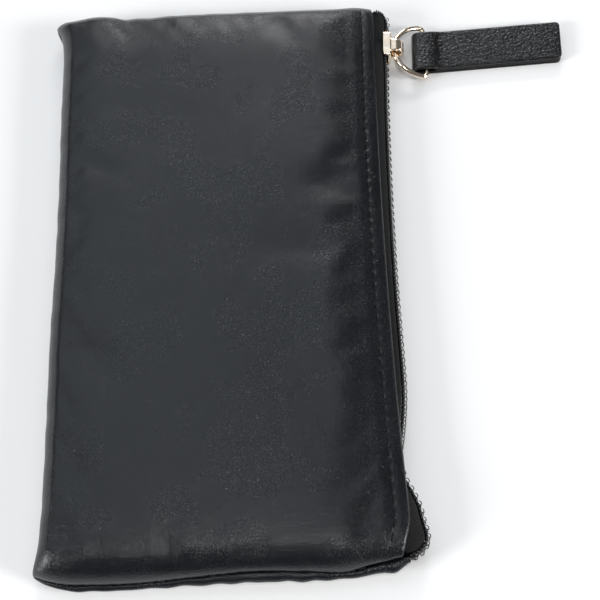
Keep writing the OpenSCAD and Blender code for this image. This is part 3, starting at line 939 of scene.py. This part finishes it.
def slider_shell():
    """Outer plate with its two flanges: a C section carried along the slider, wide at the nose."""
    # share of the length, half height, inner edge of the flanges, and how far they turn in
    stations = [(0.0, 2.35, 2.2, 0.10), (0.02, 2.75, 2.26, 0.55), (0.06, 2.98, 2.26, 0.9),
                (0.25, 3.05, 2.26, 1.0), (0.36, 3.25, 2.26, 1.0), (0.50, 3.72, 2.3, 1.0),
                (0.60, 3.9, 2.75, 1.0), (0.72, 3.95, 3.2, 1.0), (0.90, 3.95, 3.25, 1.0),
                (0.95, 3.86, 3.2, 0.9), (0.985, 3.6, 3.0, 0.55), (1.0, 3.1, 2.8, 0.1)]
    reach, out = outer_x - inner_x - 0.62, slider_hi[0]
    verts = []
    for t, h, inner, turn in stations:
        y = tail_y + (nose_y - tail_y) * t
        x = outer_x - reach * turn
        dome = 0.12 * math.sin(math.pi * t)
        inner = min(inner, h - 0.12)
        verts += [(out + dome, y, SEAM_Z - h * 0.8), (out + dome, y, SEAM_Z + h * 0.8),
                  (out - 0.25, y, SEAM_Z + h), (x, y, SEAM_Z + h), (x, y, SEAM_Z + inner),
                  (outer_x, y, SEAM_Z + inner), (outer_x, y, SEAM_Z - inner), (x, y, SEAM_Z - inner),
                  (x, y, SEAM_Z - h), (out - 0.25, y, SEAM_Z - h)]
    faces = grid_faces(len(stations), 10, 0, False, True)
    faces += [tuple(range(10)), tuple((len(stations) - 1) * 10 + j for j in reversed(range(10)))]
    obj = make("slider_shell", Parts().add(verts, faces), GOLD, None, ["slider_body"],
               sharp=35)
    rounded(obj, 0.14, 35)
    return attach(askew(obj), "slider")


slider_shell()
plate("slider_inner_plate", slider_outline(1.25), slider_lo[0] + 0.1, inner_x, "slider")
diamond = [(nose_y - 1.9, SEAM_Z), (nose_y - 0.9, SEAM_Z + 0.42), (nose_y - 0.35, SEAM_Z + 0.3),
           (nose_y - 0.25, SEAM_Z), (nose_y - 0.35, SEAM_Z - 0.3), (nose_y - 0.9, SEAM_Z - 0.42)]
plate("slider_wedge", diamond, inner_x - 0.3, outer_x + 0.3, "slider", bevel=0.08)


def bridge():
    """Loop on the slider's face: a band that rises at one end, runs over and comes down again."""
    root = bridge_lo[0]
    top = bridge_hi[0]
    half = (bridge_hi[2] - bridge_lo[2]) / 2 - 0.55
    reach = top - 0.55 - root - half
    line = [(root - 0.25, -half), (root + reach * 0.55, -half)]
    for a in np.linspace(-90, 90, 15):
        line.append((root + reach + half * math.cos(math.radians(a)), half * math.sin(math.radians(a))))
    line += [(root + reach * 0.55, half), (root - 0.25, half)]
    line = even(np.array(line), 0.3)
    middle = (bridge_lo[1] + bridge_hi[1]) / 2
    points = np.column_stack([line[:, 0], np.full(len(line), middle), SEAM_Z + line[:, 1]])
    a = np.arange(28) * 2 * math.pi / 28
    wide = (bridge_hi[1] - bridge_lo[1]) / 2
    section = np.column_stack([
        np.sign(np.cos(a)) * np.abs(np.cos(a)) ** 0.35 * wide,
        np.sign(np.sin(a)) * np.abs(np.sin(a)) ** 0.6 * 0.55,
    ])
    tangent = unit(np.gradient(points, axis=0))
    side = np.array([0, 1.0, 0])
    top_dir = np.cross(side, tangent)
    flare = 1 + 0.22 * np.abs(np.linspace(-1, 1, len(points))) ** 3
    verts = (points[:, None] + side * (section[None, :, :1] * flare[:, None, None])
             + top_dir[:, None] * section[None, :, 1:]).reshape(-1, 3)
    faces = grid_faces(len(points), 28, 0, False, True)
    faces += [tuple(range(28)), tuple((len(points) - 1) * 28 + j for j in reversed(range(28)))]
    obj = make("slider_loop", Parts().add(verts, faces), GOLD, None, ["slider_bridge"])
    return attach(askew(obj), "slider")


bridge()

# ---------------------------------------------------------------- ring
WIRE_R = 0.95
WIRE_SHOWN = 0.88    # the wire's radius as it shows
RING_DEPTH = 10.6
BRIDGE_X = 60.05
FOLD_R = 2.15        # height of the bar in the strap's fold
RING_TILT = math.asin((SEAM_Z - FOLD_R) / RING_DEPTH)
RING_HALF = (ring_hi[1] - ring_lo[1]) / 2 - WIRE_R
BAR_X = BRIDGE_X + RING_DEPTH * math.cos(RING_TILT)


def ring():
    """D-ring: one bent wire, round at the bridge and straight where the strap folds over it."""
    corner = 1.5
    pts = [(RING_HALF - RING_HALF * math.sin(a), RING_HALF * math.cos(a))
           for a in np.linspace(0, math.pi, 49)]
    limb = RING_DEPTH
    for a in np.linspace(0, math.pi / 2, 7):
        pts.append((limb - corner + corner * math.sin(a), -RING_HALF + corner - corner * math.cos(a)))
    for a in np.linspace(0, math.pi / 2, 7):
        pts.append((limb - corner + corner * math.cos(a), RING_HALF - corner + corner * math.sin(a)))
    pts = np.array(pts + pts[:1])
    pts = even(pts, 0.35)[:-1]
    c, s = math.cos(RING_TILT), math.sin(RING_TILT)
    round_end = 1 - pts[:, 0] / RING_DEPTH
    x = BRIDGE_X + pts[:, 0] * c + (0.06 * pts[:, 1] - 0.5) * round_end
    world = np.column_stack([x, SLIDER_Y + pts[:, 1], SEAM_Z - pts[:, 0] * s])
    verts, faces = sweep(world, circle(WIRE_SHOWN, 18), (s, 0, c), closed=True)
    return make("pull_ring", Parts().add(verts, faces), GOLD, "ring", ["d_ring"],
                sharp=None)


ring()

# ---------------------------------------------------------------- pull strap
STRAP_T = 1.1
BOARD_T = 1.2
STRAP_YAW = math.radians(2.9)
STRAP_SKEW = 0.10   # how far the strap's ends lean from square, per width
FOLD_X = strap_lo[0]
STRAP_END = strap_hi[0]
STRAP_HALF = (strap_hi[1] - strap_lo[1]) / 2
POCKET_END = BAR_X + WIRE_R + 1.6


def yawed(points):
    """Turns the strap's points about the bar, as it lies a little askew."""
    p = np.array(points, float)
    c, s = math.cos(STRAP_YAW), math.sin(STRAP_YAW)
    x, y = p[..., 0] - BAR_X, p[..., 1] - SLIDER_Y
    x = x + STRAP_SKEW * y
    p[..., 0], p[..., 1] = BAR_X + c * x - s * y, SLIDER_Y + s * x + c * y
    return p


def strap_line():
    """(x, z) of the leather's middle: out along the floor, round the bar and back on top."""
    low = STRAP_T / 2
    high = 2 * STRAP_T + BOARD_T - STRAP_T / 2
    r = FOLD_R - STRAP_T / 2
    centre = FOLD_X + FOLD_R
    pts = [(STRAP_END, low), (POCKET_END, low), (centre + 0.5, FOLD_R - r)]
    for a in np.linspace(-90, -270, 13):
        pts.append((centre + r * math.cos(math.radians(a)), FOLD_R + r * math.sin(math.radians(a))))
    pts += [(centre + 0.9, FOLD_R + r), (BAR_X + 0.6, FOLD_R + r - 0.03),
            (POCKET_END + 0.4, FOLD_R + r - 0.25), (POCKET_END + 2.4, high + 0.06),
            (POCKET_END + 5, high), (STRAP_END, high)]
    line = even(np.array(pts), 0.45)
    soft = line.copy()
    for _ in range(6):
        soft[1:-1] = (soft[:-2] + 2 * soft[1:-1] + soft[2:]) / 4
    return soft


def strap():
    line = strap_line()
    n = len(line)
    tangent = unit(np.gradient(line, axis=0))
    out = np.column_stack([tangent[:, 1], -tangent[:, 0]])
    from_end = np.minimum(np.arange(n), np.arange(n)[::-1]) * 0.45
    upper = np.arange(n) > n * 0.5
    m_flat, m_round = 40, 6
    corner = 1.5
    back = np.clip(corner - from_end, 0, corner)
    half = STRAP_HALF - 0.05 - (corner - np.sqrt(np.maximum(corner**2 - back**2, 0))) * 0.8
    rows_v = []
    w = np.linspace(-1, 1, m_flat)
    for i in range(n):
        h = half[i] - STRAP_T / 2
        across = w * h
        edge = h - np.abs(across) - (1.8 - STRAP_T / 2)
        crown = 0.24 * np.clip(edge / 4, 0, 1) ** 0.7 if upper[i] else 0 * across
        end_edge = from_end[i] - 1.8
        groove = -0.24 * bell(edge, 0, 0.42) * (1 if from_end[i] > 1.4 else 0.4)
        groove = groove - 0.24 * bell(end_edge, 0, 0.42) * (np.abs(across) < h - 1.2)
        crown = crown * np.clip(end_edge / 4, 0, 1) ** 0.7
        pocket = 1.0 if line[i][0] > POCKET_END - 0.5 else 0.0
        lift = (groove * pocket + crown) if upper[i] else groove * 0.4 * pocket
        wob = 0.05 * np.sin(i * 0.45 * 0.31 + across * 0.4) if upper[i] else 0 * across
        t = STRAP_T / 2 * (1 - 0.12 * np.exp(-from_end[i] / 0.5))
        a = np.linspace(math.pi / 2, -math.pi / 2, m_round + 2)[1:-1]
        right = [(h + t * math.cos(v), t * math.sin(v)) for v in a]
        left = [(-h - t * math.cos(v), t * math.sin(v)) for v in -a]
        top_row = [(x, t + dz) for x, dz in zip(across, lift + wob)]
        low_row = [(x, -t) for x in across[::-1]]
        section = np.array(top_row + right + low_row + left)
        rows_v.append(np.column_stack([
            line[i][0] + out[i][0] * section[:, 1], SLIDER_Y + section[:, 0],
            line[i][1] + out[i][1] * section[:, 1],
        ]))
    m = len(rows_v[0])
    verts = yawed(np.concatenate(rows_v))
    faces = grid_faces(n, m, 0, True, True)
    faces += [tuple(range(m))[::-1], tuple((n - 1) * m + j for j in range(m))]
    obj = make("strap_leather", Parts().add(verts, faces), STRAP_LEATHER, "strap", ["pull_strap"],
               sharp=60)
    stitches = Parts()
    start = np.nonzero((line[:, 0] > POCKET_END + 1.0) & upper)[0]
    inset = STRAP_HALF - 1.8
    for side in (-1, 1):
        pts, outs = [], []
        for i in start:
            if from_end[i] < 1.8:
                continue
            pts.append((line[i][0] + out[i][0] * STRAP_T / 2, SLIDER_Y + side * inset,
                        line[i][1] + out[i][1] * STRAP_T / 2 - 0.06))
            outs.append((out[i][0], 0, out[i][1]))
        stitch_line(stitches, yawed(pts), np.array(outs), 3.0, 0.66, 0.24, 0.5, start=0.3)
    y = np.linspace(-inset, inset, 30)
    end_row = np.column_stack([np.full(30, STRAP_END - 1.8), SLIDER_Y + y,
                               np.full(30, 2 * STRAP_T + BOARD_T - 0.06)])
    stitch_line(stitches, yawed(end_row), np.tile([0, 0, 1.0], (30, 1)), 3.0, 0.66, 0.24, 0.5, start=0.6)
    make("strap_stitches", stitches, THREAD, "strap", ["pull_strap_stitching"])
    return obj


def board():
    """Stiffener between the strap's two leaves, with rounded corners and a soft edge."""
    x0, x1 = POCKET_END + 0.3, STRAP_END - 0.12
    half = STRAP_HALF - 0.12
    r = 1.4
    outline = []
    for cx, cy, a0 in ((x1 - r, half - r, 0), (x0 + r, half - r, 90), (x0 + r, r - half, 180),
                       (x1 - r, r - half, 270)):
        for a in np.linspace(a0, a0 + 90, 7):
            outline.append((cx + r * math.cos(math.radians(a)), cy + r * math.sin(math.radians(a))))
    outline = np.array(outline)
    middle = outline.mean(axis=0)
    rows = []
    low, high = STRAP_T + 0.02, STRAP_T + BOARD_T - 0.02
    for z, inward in ((low, 0.25), (low + 0.15, 0.06), (low + 0.4, 0), (high - 0.4, 0),
                      (high - 0.15, 0.06), (high, 0.25)):
        ring_ = outline + (middle - outline) * (inward / half)
        rows.append(np.column_stack([ring_[:, 0], SLIDER_Y + ring_[:, 1], np.full(len(ring_), z)]))
    m = len(outline)
    verts = yawed(np.concatenate(rows))
    faces = grid_faces(len(rows), m, 0, True, True)
    faces += [tuple(range(m))[::-1], tuple((len(rows) - 1) * m + j for j in range(m))]
    return make("strap_board", Parts().add(verts, faces), BOARD, "strap", ["strap_stiffener"])


strap()
board()

# ---------------------------------------------------------------- floor, camera and light
def floor():
    mesh = bpy.data.meshes.new("floor")
    size = 3.0
    corners = [(-size, -size, 0), (size, -size, 0), (size, size, 0), (-size, size, 0)]
    mesh.from_pydata(corners, [], [(0, 1, 2, 3)])
    obj = bpy.data.objects.new("floor", mesh)
    bpy.context.collection.objects.link(obj)
    obj.location.z = -0.0001
    look = Look("floor_paint", Specular_IOR_Level=0.0, Roughness=0.9)
    look.colour(look.noise(6, 2.0), (0.3, (0.93, 0.93, 0.93)), (0.7, (0.95, 0.95, 0.95)))
    mesh.materials.append(look.material)


def camera():
    """Above the near side, looking down at 65 degrees, with a slight yaw and roll."""
    elevation, yaw, roll = (math.radians(a) for a in (65.10, 0.961, -3.345))
    distance = 400.66
    target = np.array([24.318, -10.636, 6.0])
    turn = np.array([[math.cos(yaw), -math.sin(yaw), 0], [math.sin(yaw), math.cos(yaw), 0], [0, 0, 1]])
    forward = turn @ [0, math.cos(elevation), -math.sin(elevation)]
    right = turn @ [1, 0, 0]
    up = turn @ [0, math.sin(elevation), math.cos(elevation)]
    r = math.cos(roll) * right + math.sin(roll) * up
    u = -math.sin(roll) * right + math.cos(roll) * up
    data = bpy.data.cameras.new("camera")
    data.sensor_width = 36
    data.lens = 78
    data.clip_start = 0.01
    obj = bpy.data.objects.new("camera", data)
    place = (target - distance * forward) * MM
    columns = np.column_stack([r, u, -forward])
    matrix = Matrix([[*columns[i], place[i]] for i in range(3)] + [[0, 0, 0, 1]])
    obj.matrix_world = matrix
    bpy.context.collection.objects.link(obj)
    bpy.context.scene.camera = obj


def softbox(name, place, size, power, aim=(0, 0, 0), tint=(1.0, 1.0, 1.0)):
    data = bpy.data.lights.new(name, "AREA")
    data.color = tint
    data.shape = "RECTANGLE"
    data.size, data.size_y = size
    data.energy = power
    obj = bpy.data.objects.new(name, data)
    obj.location = place
    obj.rotation_euler = (Vector(aim) - Vector(place)).to_track_quat("-Z", "Y").to_euler()
    bpy.context.collection.objects.link(obj)
    return obj


def light():
    world = bpy.data.worlds.new("studio")
    world.use_nodes = True
    background = world.node_tree.nodes["Background"].inputs
    background["Color"].default_value = (0.98, 0.99, 1.0, 1)
    background["Strength"].default_value = 0.14
    bpy.context.scene.world = world
    softbox("ceiling", (-0.68, 1.10, 1.5), (2.0, 1.96), 12.2, (-0.68, 1.10, 0), (0.84, 0.92, 1.0))
    softbox("spark", (0.0, -0.26, 1.15), (0.12, 0.12), 2.2)
    softbox("near_left", (-1.45, -0.55, 0.70), (0.6, 0.6), 20)
    softbox("near_right", (1.45, -0.55, 0.70), (0.6, 0.6), 20)
    softbox("far_middle", (0.2, 1.9, 1.0), (0.8, 0.3), 12)
    bpy.context.scene.view_settings.view_transform = "Standard"


floor()
camera()
light()
